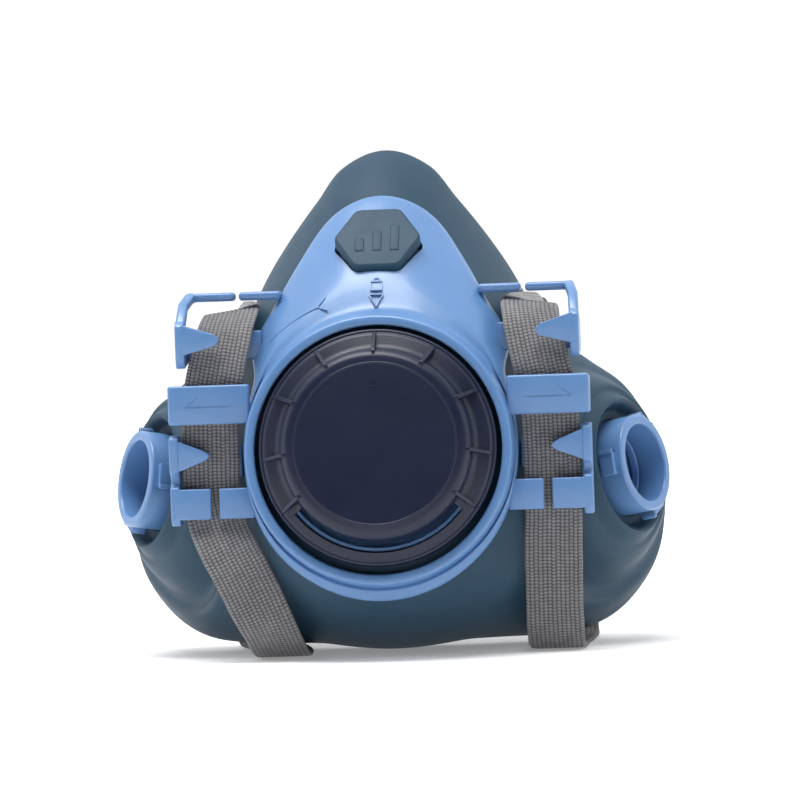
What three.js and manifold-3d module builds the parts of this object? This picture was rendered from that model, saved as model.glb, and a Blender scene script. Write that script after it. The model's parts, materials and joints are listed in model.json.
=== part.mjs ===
// A half-mask respirator: a soft facepiece that stands on its chin, a stiff yoke round the
// exhalation valve, two filter connectors, and elastic straps that run through the yoke to a
// head cradle and a neck clip. Millimetres, +Z up, the front of the mask looks along -Y.
import * as THREE from "three";
import { mergeVertices } from "three/addons/utils/BufferGeometryUtils.js";
import Module from "manifold-3d";

const wasm = await Module();
wasm.setup();

// ---------------------------------------------------------------- driving dimensions
const RAD = Math.PI / 180;
const GAP = 0.35; // clearance between pieces that touch on the real mask
const VALVE = { y: -38, z: 55, tilt: 8 * RAD }; // centre of the exhalation valve, axis tipped up
const PORT_R = 28; // port in the rubber that the valve seat fills
const WALL = 2.8; // rubber wall thickness
const YOKE = { inner: 32.2, thick: 2.2, lip: 4.6, gap: 0.9 };
const CAP = { r: 31, plateau: 23.5, height: 13.4, wall: 2 };
const SEAT = { bore: 21.5, barrel: 27.6, flange: 30.6 };
const FLAP = { r: 23, thick: 0.8 };
const CONNECTOR = { x: 68.2, y: -4.6, z: 48.3, axis: [0.879, -0.448, 0.165], r: 12.9, bore: 10.3 };
const STRAP = { width: 15.2, thick: 1.5 };
const BADGE = { z: 108, y: -16.2, lean: 42 * RAD, across: 23.4, thick: 3.2 };

// Outline of the rubber seen from the front, in polar form round the valve axis. Each row is
// angle above the horizontal, radius, depth y of the widest line, and how boxy the flank is.
const OUTLINE = [
  [-90, 54.6, 10, 2.5],
  [-72, 55.8, 11, 2.3],
  [-63, 59.2, 13, 2.05],
  [-54, 65.0, 15, 1.8],
  [-45, 72.2, 18, 1.6],
  [-38, 75.6, 20, 1.4],
  [-30, 76.9, 22, 1.27],
  [-19, 75.8, 24, 1.16],
  [0, 69.6, 24, 1.1],
  [12, 63.6, 23, 1.13],
  [21, 56.8, 22, 1.22],
  [33, 51.2, 21, 1.42],
  [44, 52.4, 20.5, 1.5],
  [55, 56.6, 20, 1.42],
  [65, 61.8, 20, 1.34],
  [74, 68.2, 20, 1.28],
  [81, 75.2, 20, 1.22],
  [90, 78.8, 20, 1.2],
];
// Outer edge of the yoke in the same polar form: angle, radius.
const YOKE_EDGE = [
  [-90, 39.4], [-45, 38], [0, 36], [30, 38], [38, 43], [54, 47.4], [66, 53.7], [79, 63.2], [90, 66.4],
];

const COLOURS = {
  rubber: { color: 0x64809a, roughness: 0.62 },
  yoke: { color: 0x6a94cc, roughness: 0.28 },
  cap: { color: 0x1c2140, roughness: 0.5 },
  flap: { color: 0xc9ccc8, roughness: 0.5 },
  webbing: { color: 0x7d7a7a, roughness: 0.85 },
  fitting: { color: 0x2a2c30, roughness: 0.45 },
};

// ---------------------------------------------------------------- solids
function toSolid(geometry) {
  const plain = geometry.index ? geometry.toNonIndexed() : geometry.clone();
  plain.deleteAttribute("normal");
  plain.deleteAttribute("uv");
  const merged = mergeVertices(plain, 1e-4);
  return new wasm.Manifold(
    new wasm.Mesh({
      numProp: 3,
      vertProperties: new Float32Array(merged.attributes.position.array),
      triVerts: new Uint32Array(merged.index.array),
    }),
  );
}

function toGeometry(solid) {
  const m = solid.getMesh();
  const positions = new Float32Array(m.numVert * 3);
  for (let i = 0; i < m.numVert; i++) {
    positions.set(m.vertProperties.subarray(i * m.numProp, i * m.numProp + 3), i * 3);
  }
  const geometry = new THREE.BufferGeometry();
  geometry.setAttribute("position", new THREE.BufferAttribute(positions, 3));
  geometry.setIndex(new THREE.BufferAttribute(new Uint32Array(m.triVerts), 1));
  geometry.computeVertexNormals();
  return geometry;
}

const join = (solids) => solids.reduce((sum, next) => sum.add(next));

// A ring or disc round the local Z axis, from [radius, height] points that run anticlockwise.
function turned(points, segments = 30) {
  const closed = points[0][0] > 0 ? [...points, points[0]] : points;
  const profile = closed.map(([r, z]) => new THREE.Vector2(r, z));
  const geometry = new THREE.LatheGeometry(profile, segments);
  geometry.rotateX(Math.PI / 2);
  const solid = toSolid(geometry);
  return solid.volume() > 0 ? solid : toSolid(flipped(geometry));
}

function flipped(geometry) {
  const out = geometry.index ? geometry.toNonIndexed() : geometry.clone();
  const p = out.attributes.position;
  for (let i = 0; i < p.count; i += 3) {
    const b = [p.getX(i + 1), p.getY(i + 1), p.getZ(i + 1)];
    p.setXYZ(i + 1, p.getX(i + 2), p.getY(i + 2), p.getZ(i + 2));
    p.setXYZ(i + 2, ...b);
  }
  return out;
}

const rod = (r, z0, z1, segments = 24) => turned([[0, z0], [r, z0], [r, z1], [0, z1]], segments);

// A box between two corners.
function block(low, high) {
  const size = high.map((v, i) => v - low[i]);
  const geometry = new THREE.BoxGeometry(...size);
  geometry.translate(...low.map((v, i) => v + size[i] / 2));
  return toSolid(geometry);
}

// A flat outline in the local XY plane, raised from z0 to z1.
function plate(points, z0, z1, holes = []) {
  const shape = new THREE.Shape(points.map(([x, y]) => new THREE.Vector2(x, y)));
  for (const hole of holes) {
    shape.holes.push(new THREE.Path(hole.map(([x, y]) => new THREE.Vector2(x, y))));
  }
  const geometry = new THREE.ExtrudeGeometry(shape, { depth: z1 - z0, bevelEnabled: false });
  geometry.translate(0, 0, z0);
  return toSolid(geometry);
}

// A closed skin from rings of points. Each ring closes on itself; the rings close on each other
// when wrap is true, and otherwise the first and last ring are capped from their middle.
function skin(rings, wrap) {
  const n = rings[0].length;
  const points = rings.flat();
  const index = [];
  const rows = wrap ? rings.length : rings.length - 1;
  for (let i = 0; i < rows; i++) {
    const next = (i + 1) % rings.length;
    for (let j = 0; j < n; j++) {
      const k = (j + 1) % n;
      index.push(i * n + j, next * n + j, next * n + k, i * n + j, next * n + k, i * n + k);
    }
  }
  if (!wrap) {
    for (const [row, turn] of [[0, 1], [rings.length - 1, -1]]) {
      for (let j = 1; j < n - 1; j++) {
        const corner = [row * n, row * n + j, row * n + j + 1];
        index.push(...(turn > 0 ? corner : corner.reverse()));
      }
    }
  }
  const geometry = new THREE.BufferGeometry();
  geometry.setAttribute("position", new THREE.Float32BufferAttribute(points.flat(), 3));
  geometry.setIndex(index);
  const solid = toSolid(geometry);
  return solid.volume() > 0 ? solid : toSolid(flipped(geometry));
}

// ---------------------------------------------------------------- curves
// A smooth value at angle phi, read from rows of [angle, value...], level at both ends.
function readTable(rows, phi, column) {
  const mirrored = phi > 90 ? 180 - phi : phi;
  const last = rows.length - 1;
  let i = 0;
  while (i < last - 1 && mirrored > rows[i + 1][0]) i++;
  const slope = (k) => {
    if (k === 0 || k === last) return 0;
    return (rows[k + 1][column] - rows[k - 1][column]) / (rows[k + 1][0] - rows[k - 1][0]);
  };
  const span = rows[i + 1][0] - rows[i][0];
  const t = (mirrored - rows[i][0]) / span;
  const [a, b] = [rows[i][column], rows[i + 1][column]];
  const [da, db] = [slope(i) * span, slope(i + 1) * span];
  const [t2, t3] = [t * t, t * t * t];
  return a * (2 * t3 - 3 * t2 + 1) + da * (t3 - 2 * t2 + t) + b * (3 * t2 - 2 * t3) + db * (t3 - t2);
}

const polar = (phi, r, y) => [r * Math.cos(phi * RAD), y, VALVE.z + r * Math.sin(phi * RAD)];

// A point of the rubber's outside at angle phi and radius r, sunk by the given depth.
function rubberPoint(phi, r, sink = 0) {
  const edge = readTable(OUTLINE, phi, 1) - sink;
  const widest = readTable(OUTLINE, phi, 2);
  const boxy = readTable(OUTLINE, phi, 3);
  const front = VALVE.y + Math.tan(VALVE.tilt) * PORT_R * Math.sin(phi * RAD) + sink;
  const s = Math.min(1, Math.max(0, (r - PORT_R) / (edge - PORT_R)));
  const crown = (1 - s ** boxy) ** (1 / boxy);
  const y = widest - (widest - front) * crown;
  return polar(phi, r, y);
}

// The same point moved forward, so that it stands clear of the rubber by the given lift.
function rubberOffset(phi, r, lift) {
  const step = 0.6;
  const at = (a, b) => new THREE.Vector3(...rubberPoint(a, b));
  const along = at(phi, r + step).sub(at(phi, r - step));
  const round = at(phi + 1, r).sub(at(phi - 1, r));
  const normal = along.cross(round).normalize();
  const [x, y, z] = rubberPoint(phi, r);
  return [x, y - lift / Math.max(0.35, Math.abs(normal.y)), z];
}

// The smooth path of a route's centres, and of its directions of width.
const routeCurves = (rows) =>
  [0, 1].map((column) => {
    const points = rows.map((row) => new THREE.Vector3(...row[column]));
    return new THREE.CatmullRomCurve3(points, false, "centripetal");
  });

// A flat band along a smooth path. Each row is [centre], [direction of its width].
function band(rows, width, thick, steps) {
  const [centres, widths] = routeCurves(rows);
  const rings = [];
  for (let i = 0; i <= steps; i++) {
    const t = i / steps;
    const p = centres.getPoint(t);
    const along = centres.getTangent(t);
    const across = widths.getPoint(t);
    across.addScaledVector(along, -across.dot(along)).normalize();
    const out = new THREE.Vector3().crossVectors(along, across);
    const reach = (Math.abs(across.z) * width + Math.abs(out.z) * thick) / 2;
    p.z = Math.max(p.z, reach + 0.1); // nothing sinks into the table
    const corner = (a, b) =>
      p.clone().addScaledVector(across, (a * width) / 2).addScaledVector(out, (b * thick) / 2).toArray();
    rings.push([corner(-1, -1), corner(1, -1), corner(1, 1), corner(-1, 1)]);
  }
  return skin(rings, false);
}

// Turns a group so that its local Z points along the given direction and its local Y leans up.
function aim(group, direction) {
  const z = new THREE.Vector3(...direction).normalize();
  const y = new THREE.Vector3(0, 0, 1).addScaledVector(z, -z.z).normalize();
  const x = new THREE.Vector3().crossVectors(y, z);
  group.quaternion.setFromRotationMatrix(new THREE.Matrix4().makeBasis(x, y, z));
  return group;
}

function placed(solid, group) {
  group.updateMatrix();
  const e = group.matrix.elements;
  return solid.transform([...e]);
}

function part(name, solid, colour) {
  const material = new THREE.MeshStandardMaterial({ ...COLOURS[colour], metalness: 0 });
  const mesh = new THREE.Mesh(toGeometry(solid), material);
  mesh.name = name;
  return mesh;
}

// ---------------------------------------------------------------- places
const valveGroup = aim(new THREE.Group(), [0, -Math.cos(VALVE.tilt), Math.sin(VALVE.tilt)]);
valveGroup.position.set(0, VALVE.y, VALVE.z);

const badgeGroup = aim(new THREE.Group(), [0, -Math.cos(BADGE.lean), Math.sin(BADGE.lean)]);
badgeGroup.position.set(0, BADGE.y, BADGE.z);

const SIDES = [["left", -1], ["right", 1]];
function connectorGroup(side) {
  const [ax, ay, az] = CONNECTOR.axis;
  const group = aim(new THREE.Group(), [side * ax, ay, az]);
  group.position.set(side * CONNECTOR.x, CONNECTOR.y, CONNECTOR.z);
  return group;
}

// ---------------------------------------------------------------- facepiece
// One rubber shell: outside, rolled rim, face seal lip turned inwards, inside, round the port.
function facepiece() {
  const rings = [];
  const around = 60;
  const outside = 10;
  const inside = 5;
  for (let i = 0; i < around; i++) {
    const phi = -90 + (360 * i) / around;
    const edge = readTable(OUTLINE, phi, 1);
    const widest = readTable(OUTLINE, phi, 2);
    const ring = [];
    const radiusAt = (t, rim) => PORT_R + (rim - PORT_R) * Math.sin((t * Math.PI) / 2) ** 1.15;
    for (let k = 0; k <= outside; k++) ring.push(rubberPoint(phi, radiusAt(k / outside, edge)));
    const rim = [[0.5, 5], [4, 8.6], [10, 9.2], [16.5, 7], [16.5, 5.2], [10, 7.2], [5, 6], [3.2, 3]];
    for (const [inset, back] of rim) ring.push(polar(phi, edge - inset, widest + back));
    for (let k = inside; k >= 0; k--) {
      ring.push(rubberPoint(phi, radiusAt(k / inside, edge - WALL), WALL));
    }
    rings.push(ring);
  }
  const hole = CONNECTOR.r + GAP;
  const collar = turned([[hole, -15], [18.6, -15], [17.6, -7.6], [16.2, -6.6], [hole, -6.6]]);
  let shell = skin(rings, true);
  for (const [, side] of SIDES) shell = shell.add(placed(collar, connectorGroup(side)));
  for (const [, side] of SIDES) {
    shell = shell.subtract(placed(rod(hole, -24, 2, 40), connectorGroup(side)));
  }
  return shell;
}

const hexagon = (across) =>
  [0, 60, 120, 180, 240, 300].map((angle) => {
    return [(across / 2) * Math.cos(angle * RAD), (across / 2) * Math.sin(angle * RAD)];
  });

// Size badge: a rubber hexagon with three raised bars, set in the window of the yoke.
function sizeBadge() {
  const bars = [-1, 0, 1].map((i) => {
    const half = 2.2 + (i + 1) * 1.1;
    return block([i * 4.6 - 1.2, -5, BADGE.thick - 0.1], [i * 4.6 + 1.2, -5 + 2 * half, BADGE.thick + 0.5]);
  });
  return join([plate(hexagon(BADGE.across), 0, BADGE.thick), ...bars]);
}

// ---------------------------------------------------------------- yoke
// A stiff shell that hugs the rubber, with a raised lip round the cap and strap guides each side.
function yoke() {
  const around = 60;
  const across = 5;
  const lipWidth = 3;
  const rings = [];
  for (let i = 0; i < around; i++) {
    const phi = -90 + (360 * i) / around;
    const edge = readTable(YOKE_EDGE, phi, 1);
    const foot = YOKE.inner + lipWidth + 0.4;
    const outer = [];
    const inner = [];
    for (const r of [YOKE.inner, YOKE.inner + lipWidth]) {
      const level = VALVE.y + Math.tan(VALVE.tilt) * r * Math.sin(phi * RAD);
      const under = Math.min(rubberOffset(phi, r, YOKE.gap)[1], level - 0.5);
      outer.push(polar(phi, r, level - YOKE.lip));
      inner.unshift(polar(phi, r, under));
    }
    for (let k = 0; k < across; k++) {
      const r = foot + ((edge - foot) * k) / (across - 1);
      outer.push(rubberOffset(phi, r, YOKE.gap + YOKE.thick));
      inner.unshift(rubberOffset(phi, r, YOKE.gap));
    }
    rings.push([...outer, ...inner]);
  }
  const window = placed(plate(hexagon(BADGE.across + 1.4), -6, 8), badgeGroup);
  const guides = SIDES.map(([, side]) => strapGuides(side));
  return join([skin(rings, true).subtract(window), ...guides]);
}

// The guides that hold one strap, all in one piece with the yoke. The strap runs behind the bars
// and teeth and in front of the back plates.
function strapGuides(side) {
  const box = (x0, x1, y0, y1, z0, z1) => {
    const [low, high] = [side * x0, side * x1].sort((a, b) => a - b);
    return block([low, y0, z0], [high, y1, z1]);
  };
  const flat = (points, y0, y1) =>
    plate(points.map(([x, z]) => [side * x, z]), -y1, -y0).rotate([90, 0, 0]);
  const post = new THREE.CatmullRomCurve3([
    new THREE.Vector3(side * 51.6, -32.6, 86),
    new THREE.Vector3(side * 51.3, -28.6, 91),
    new THREE.Vector3(side * 50.2, -18, 95.2),
    new THREE.Vector3(side * 49.6, -13, 95.8),
  ]);
  const section = new THREE.Shape(
    [[-1.5, -1.3], [1.5, -1.3], [1.5, 1.3], [-1.5, 1.3]].map(([x, y]) => new THREE.Vector2(x, y)),
  );
  const bent = toSolid(new THREE.ExtrudeGeometry(section, { steps: 8, extrudePath: post }));
  const backPlate = [
    [33, -35.4], [35.4, -33.6], [36.4, -31.8], [36.8, -30.3], [54, -30.3],
    [54, -28.1], [38.8, -28.1], [36.2, -29.6], [34.6, -31.7], [33, -33.7],
  ];
  return join([
    box(33.6, 55, -36.5, -33.8, 62.8, 73), // mid bar in front of the strap
    box(52.6, 55, -36.5, -27.4, 62.8, 73), // its end wall
    box(40, 54, -29.4, -27.4, 62.8, 70), // its back plate
    box(52.8, 55.2, -35.8, -28.1, 36, 60), // outer wall of the lower guide
    plate(backPlate.map(([x, y]) => [side * x, y]), 48.8, 57), // its back plate
    box(44.6, 54, -35.8, -33.4, 38, 46), // lower bar, outer half
    box(33.2, 42.4, -35.8, -33.6, 38, 46), // lower bar, inner half
    flat([[53.4, 50.4], [53.4, 58.6], [45.6, 55.6], [44.8, 54.6], [45.6, 53.4]], -35.6, -33.2), // lower tooth
    box(50.4, 52.8, -34.4, -22.6, 77.6, 89), // outer wall of the upper guide
    box(31, 51, -25, -22.6, 79.4, 86.8), // its back plate
    flat([[51.2, 80.6], [51.2, 89], [42, 86], [41.2, 84.8], [41.8, 83.5]], -34.4, -32.2), // upper tooth
    bent,
    box(38.6, 51, -19, -12.4, 94.7, 97), // top bar, outer half
    box(26, 37, -19, -12.4, 94.7, 97), // top bar, inner half
  ]);
}

// ---------------------------------------------------------------- exhalation valve
function valveSeat() {
  const ring = turned([
    [SEAT.bore, -4.4], [25, -4.4], [25, -9.9], [SEAT.flange - 0.6, -9.9],
    [SEAT.flange - 0.6, -8.4], [SEAT.barrel, -8.4], [SEAT.barrel, -3.4], [SEAT.bore, -3.4],
  ]);
  const front = turned([
    [SEAT.bore, -4], [24.8, -4], [SEAT.barrel, -4], [SEAT.barrel, 0.6], [SEAT.flange, 0.6],
    [SEAT.flange, 2.4], [25.6, 2.4], [25.6, 0.6], [24, 0], [SEAT.bore, 0],
  ]);
  const spokes = [0, 60, 120].map((angle) =>
    block([-SEAT.bore - 1, -0.9, -3.6], [SEAT.bore + 1, 0.9, -1.4]).rotate([0, 0, angle]),
  );
  const hub = [rod(4, -3.6, -0.4), rod(1.7, -1, 3.6), rod(3.4, 3.3, 4.4)];
  return join([ring, front, ...spokes, ...hub]);
}

const exhaleFlap = () =>
  turned([[2.1, GAP], [FLAP.r, GAP], [FLAP.r, GAP + FLAP.thick], [2.1, GAP + FLAP.thick]]);

// Domed cover with radial ribs and a slot along its lower side that lets the breath out.
function valveCap() {
  const { r, plateau, height, wall } = CAP;
  const shell = turned([
    [r - 1.6, 2.9], [r, 2.9], [r, 5], [r - 1, 6], [25.4, 11.2], [plateau, height], [20.4, height],
    [20.2, height + 0.3], [19.6, height + 0.3], [19.4, height], [0, height - 0.2],
    [0, height - wall - 0.2], [plateau - 1.2, height - wall], [23.8, 10], [r - 2.6, 5],
  ], 40);
  const rib = (angle) => {
    const side = [[23.2, 12], [23.6, 13.1], [25.6, 11.4], [29.4, 7], [28.6, 6]];
    return plate(side, -0.55, 0.55).rotate([90, 0, 0]).rotate([0, 0, 90 - angle]);
  };
  const ribs = [0, 31, 62, 95, 123, -31, -62, -95, -123].map(rib);
  const steps = [...Array(14).keys()].map((i) => (128 + 8 * i) * RAD);
  const arc = (radius) => steps.map((a) => [radius * Math.sin(a), radius * Math.cos(a)]);
  const sector = [...arc(23.9), ...arc(27.4).reverse()];
  const pointer = plate([[-1.6, 17.4], [1.6, 17.4], [0, 14.8]], height - 0.4, height + 0.3);
  return join([shell, ...ribs, pointer]).subtract(plate(sector, 4, height + 2));
}

// ---------------------------------------------------------------- filter connectors
function connector(side) {
  const { r, bore } = CONNECTOR;
  const tube = turned([
    [bore, -19], [15.2, -19], [15.2, -17.6], [r, -17.6], [r, -0.6], [r - 0.5, 0], [bore, 0],
  ]);
  const lugs = [5, 125, 245].map((angle) => {
    const turn = side > 0 ? 180 - angle : angle;
    return block([r - 0.6, -3.4, -6], [r + 2, 3.4, -1.8]).rotate([0, 0, turn]);
  });
  return join([tube, ...lugs]);
}

const lockRing = () => turned([[9, -9.8], [9.95, -9.8], [9.95, -8], [9.3, -7.7], [9, -8]], 24);

function inhaleSeat() {
  const ring = turned([[8, -13], [9.95, -13], [9.95, -10.6], [8, -10.6]], 24);
  const spokes = [0, 90].map((angle) => block([-8.6, -0.6, -12.8], [8.6, 0.6, -11]).rotate([0, 0, angle]));
  const pin = [rod(1.6, -13, -10.8, 12), rod(0.9, -16.2, -12.9, 12), rod(1.8, -17, -15.9, 12)];
  return join([ring, ...spokes, ...pin]);
}

const inhaleFlap = () => turned([[1.25, -13.95], [9.4, -13.95], [9.4, -13.35], [1.25, -13.35]], 24);

// ---------------------------------------------------------------- straps and fittings
// Each strap starts at the neck clip, passes under the chin, climbs through the guides, folds
// back under the top bar, runs along the flank and ends at the head cradle.
const STRAP_ROUTE = {
  right: [
    [[14.8, 53, 9], [0, 0, 1]],
    [[26, 52.4, 9], [0, 0, 1]],
    [[37.5, 48, 8.7], [0.1, 0, 1]],
    [[44, 39, 4.9], [0.75, 0, 0.7]],
    [[45.5, 29, 1.4], [1, 0, 0.04]],
    [[45, 18, 0.85], [1, 0, 0]],
    [[44.4, 4, 0.85], [1, 0, 0]],
    [[44, -12, 0.85], [1, 0, 0]],
    [[43.8, -21, 2.6], [1, 0, 0]],
    [[43.8, -27, 10], [1, 0, 0]],
    [[44.1, -30, 23], [1, 0, 0]],
    [[44.3, -30.8, 30], [1, 0, 0]],
    [[44.6, -31.4, 36.5], [1, 0, 0]],
    [[44.7, -31.5, 44], [1, 0, 0]],
    [[44.7, -31.5, 56], [1, 0, 0]],
    [[44.2, -31.6, 68], [1, 0, 0]],
    [[42.4, -31.4, 77], [1, 0, -0.06]],
    [[40.4, -27.6, 86.5], [1, 0, -0.1]],
    [[39.4, -19.5, 91.2], [1, 0, -0.1]],
    [[40.2, -8, 90.8], [0.9, 0, -0.44]],
    [[42.2, 6, 88.8], [0.66, 0, -0.75]],
    [[43.3, 21, 87.7], [0.55, 0, -0.84]],
    [[42.6, 36, 84], [0.44, 0, -0.9]],
    [[40.4, 47.5, 76.4], [0.16, 0, -0.98]],
    [[39, 56.5, 71.6], [0.02, 0, -1]],
    [[38.6, 65.6, 71.2], [0, 0, -1]],
  ],
};
// How far the left strap's lower run slants inwards, and how far it stands forward of the right.
const LEFT_DRIFT = [0, 0, 0, -2, -8, -11.5, -14, -15.2, -15, -12.6, -7.2, -3.8, -1.3];
const LEFT_FORWARD = [0, 0, 0, 0, 0, 0, 0, -1, -4, -7, -6.2, -4.3, -1.3];
STRAP_ROUTE.left = STRAP_ROUTE.right.map(([[x, y, z], [wx, wy, wz]], i) => {
  return [[-(x + (LEFT_DRIFT[i] ?? 0)), y + (LEFT_FORWARD[i] ?? 0), z], [-wx, wy, wz]];
});

const SLIDER_ROW = 22.25; // where along the route the slider sits

const strap = (name) => band(STRAP_ROUTE[name], STRAP.width, STRAP.thick, 72);

// A sliding buckle: a flat frame with one window that the strap passes through.
function strapSlider(side) {
  const outline = [
    [-10, -2.2], [-9, -3.2], [9, -3.2], [10, -2.2],
    [10, 2.2], [9, 3.2], [-9, 3.2], [-10, 2.2],
  ];
  const window = [[-8.3, -1.7], [-8.3, 1.7], [8.3, 1.7], [8.3, -1.7]];
  const frame = plate(outline, -4, 4, [window]);
  const group = new THREE.Group();
  const route = STRAP_ROUTE.right;
  const [curve, widths] = routeCurves(route);
  const t = SLIDER_ROW / (route.length - 1);
  const along = curve.getTangent(t);
  const across = widths.getPoint(t);
  across.addScaledVector(along, -across.dot(along)).normalize();
  const out = new THREE.Vector3().crossVectors(along, across);
  group.quaternion.setFromRotationMatrix(new THREE.Matrix4().makeBasis(across, out, along));
  group.position.copy(curve.getPoint(t));
  const solid = placed(frame, group);
  return side > 0 ? solid : solid.mirror([1, 0, 0]);
}

// Head cradle: a hoop that stands on the table, with cross bars and a slot each side for a strap.
function headCradle() {
  const depth = (x) => 66 - 0.002 * x * x;
  const at = (x, z) => [x, depth(x), z];
  const half = [[44, 0.1], [44.6, 30], [44.6, 60], [43.6, 76], [37, 88], [22, 95.5], [0, 97.5]];
  const outwards = [[1, 0], [1, 0], [1, 0], [1, 0.2], [0.75, 0.65], [0.3, 0.95], [0, 1]];
  const right = half.map(([x, z], i) => [at(x, z), [outwards[i][0], 0, outwards[i][1]]]);
  const left = right.map(([[x, y, z], [wx, wy, wz]]) => [[-x, y, z], [-wx, wy, wz]]);
  const hoop = band([...right, ...left.reverse().slice(1)], 5.2, 3, 40);
  const bar = (z, reach, height) =>
    band([-1, -0.5, 0, 0.5, 1].map((k) => [at(k * reach, z), [0, 0, 1]]), height, 2.8, 12);
  const strut = (x, width, z0, z1) =>
    block([x - width / 2, depth(x) - 1.4, z0], [x + width / 2, depth(x) + 1.4, z1]);
  return join([
    hoop,
    bar(6.5, 43.5, 9),
    bar(60, 43.5, 7),
    bar(83, 39, 5),
    strut(-34.5, 4.5, 57, 84),
    strut(34.5, 4.5, 57, 84),
    strut(0, 10, 4, 96),
  ]);
}

// Neck clip: a socket and the plug that snaps into it.
const CLIP = { y: 53, half: 3, reach: 14, low: 0.1, high: 18.1 };
function clipSocket() {
  const body = block([-CLIP.reach, CLIP.y - CLIP.half, CLIP.low], [0, CLIP.y + CLIP.half, CLIP.high]);
  return body.subtract(block([-10.5, CLIP.y - 1.6, 2.6], [1, CLIP.y + 1.6, 16.2]));
}

function clipPlug() {
  const grip = block([0.4, CLIP.y - CLIP.half, CLIP.low], [CLIP.reach, CLIP.y + CLIP.half, CLIP.high]);
  return grip.add(block([-9.6, CLIP.y - 1.2, 3.2], [1, CLIP.y + 1.2, 15.6]));
}

// ---------------------------------------------------------------- assembly
const model = new THREE.Group();
model.add(part("facepiece", facepiece(), "rubber"));
model.add(part("yoke", yoke(), "yoke"));
model.add(part("head_cradle", headCradle(), "fitting"));
model.add(part("clip_socket", clipSocket(), "fitting"));
model.add(part("clip_plug", clipPlug(), "fitting"));

badgeGroup.add(part("size_badge", sizeBadge(), "rubber"));
valveGroup.add(part("valve_seat", valveSeat(), "yoke"));
valveGroup.add(part("exhale_flap", exhaleFlap(), "flap"));
valveGroup.add(part("valve_cap", valveCap(), "cap"));
model.add(badgeGroup, valveGroup);

for (const [name, side] of SIDES) {
  const group = connectorGroup(side);
  group.add(part("connector_" + name, connector(side), "yoke"));
  group.add(part("lock_ring_" + name, lockRing(), "yoke"));
  group.add(part("inhale_seat_" + name, inhaleSeat(), "yoke"));
  group.add(part("inhale_flap_" + name, inhaleFlap(), "flap"));
  model.add(group);
  model.add(part("strap_" + name, strap(name), "webbing"));
  model.add(part("strap_slider_" + name, strapSlider(side), "fitting"));
}

// The origin sits on the table, under the middle of the whole object.
const bounds = new THREE.Box3().setFromObject(model, true);
const middle = bounds.getCenter(new THREE.Vector3());
model.position.set(-middle.x, -middle.y, -bounds.min.z);

export default model;
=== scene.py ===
# %% [markdown]
# # A half-mask respirator
# This lesson builds the looks of a half-mask respirator round a finished mechanical frame. The frame
# gives every place and size, and the moving parts. Each step below makes one piece of the real mask
# and says what that piece is, how it could be made, and why this way was chosen.

# %% Load the frame
import json
import math

import bmesh
import bpy
import numpy as np
from mathutils import Matrix, Vector


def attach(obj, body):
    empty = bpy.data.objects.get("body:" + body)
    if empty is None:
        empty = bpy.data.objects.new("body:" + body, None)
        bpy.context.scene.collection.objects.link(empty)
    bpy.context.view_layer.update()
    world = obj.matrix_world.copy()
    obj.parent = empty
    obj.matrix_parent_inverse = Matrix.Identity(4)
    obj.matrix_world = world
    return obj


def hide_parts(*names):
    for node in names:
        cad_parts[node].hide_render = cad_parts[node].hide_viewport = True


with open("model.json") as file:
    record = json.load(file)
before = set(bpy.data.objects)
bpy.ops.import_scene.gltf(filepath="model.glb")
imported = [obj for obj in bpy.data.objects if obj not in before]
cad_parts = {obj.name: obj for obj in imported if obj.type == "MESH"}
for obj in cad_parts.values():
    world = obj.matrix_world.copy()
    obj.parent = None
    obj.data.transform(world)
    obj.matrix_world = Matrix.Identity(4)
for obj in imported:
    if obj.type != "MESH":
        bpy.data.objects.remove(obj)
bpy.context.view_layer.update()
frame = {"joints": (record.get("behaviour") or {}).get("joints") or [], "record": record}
MM = 0.001
RAD = math.pi / 180
joints = {j["name"]: j for j in frame["joints"]}
mounts = {m["name"]: m for m in frame["record"]["mounts"]}

# %% [markdown]
# ## Places taken from the frame
# Nearly everything on the mask is drawn round one of three axes: the exhalation valve in the middle
# and the filter neck in each cheek. The joint of the cover gives the first axis and the filter
# mounts give the others. A place is kept as an origin and three directions, so a turned or extruded
# piece can be drawn flat at the origin and then set in its place.

# %% Places
def place_from(origin, outwards):
    """An origin in millimetres and three directions: right, up and out along the axis."""
    z = np.array(outwards, float)
    z /= np.linalg.norm(z)
    y = np.array([0, 0, 1.0]) - z * z[2]
    y /= np.linalg.norm(y)
    return np.array(origin, float), np.stack([np.cross(y, z), y, z])


def put(points, place):
    """Points drawn in a place's own directions, moved to where that place is."""
    origin, axes = place
    return np.asarray(points, float) @ axes + origin


cover = joints["cover_twist"]
VALVE = place_from(np.array(cover["pos_m"]) / MM, cover["axis"])
MOUNT_REACH = 11.35  # the filter mount sits this far up the face of the neck
NECK = {}
for side in ("left", "right"):
    mount = mounts["filter_" + side]
    origin, axes = place_from(np.array(mount["pos_m"]) / MM, mount["axis"])
    NECK[side] = (origin - MOUNT_REACH * axes[1], axes)
SIGN = {"left": -1, "right": 1}
print("valve centre", VALVE[0].round(1), "neck mouth", NECK["right"][0].round(1))
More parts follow.
